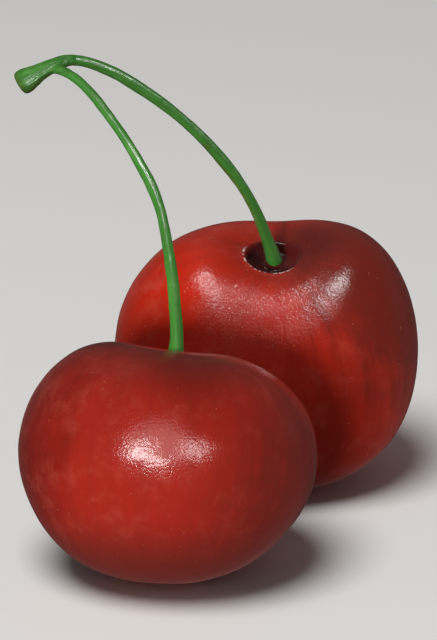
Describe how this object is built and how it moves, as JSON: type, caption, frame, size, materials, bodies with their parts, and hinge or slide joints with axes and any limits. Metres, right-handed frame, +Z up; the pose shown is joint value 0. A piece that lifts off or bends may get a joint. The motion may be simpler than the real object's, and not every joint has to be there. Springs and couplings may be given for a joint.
{
  "type": "pair of cherries",
  "caption": "Ripe red sweet cherries on arching green stems that join at one knob, resting side by side on the rounded base of each fruit.",
  "frame": {"origin": "on the surface that the pair rests on, below the middle of its box", "axes": "+Z up, +Y from the smaller front fruit to the larger back fruit, +X to the right as seen from the front, away from the knob"},
  "size_m": [0.038, 0.0518, 0.0452],
  "materials": {
    "front_skin": "smooth waxy fruit skin, deep red with darker maroon on one side, fine pale flecks, soft gloss",
    "back_skin": "smooth waxy fruit skin, scarlet on one side and maroon on the other, darkest in the stem cavity, soft gloss",
    "stem": "smooth green stalk, faintly ribbed lengthways, satin",
    "knob": "green woody knob with a duller scar where it left the twig"
  },
  "bodies": {
    "root": {"front_cherry": "front_skin", "back_cherry": "back_skin", "front_stem": "stem", "back_stem": "stem", "stem_knob": "knob"}
  },
  "joints": []
}
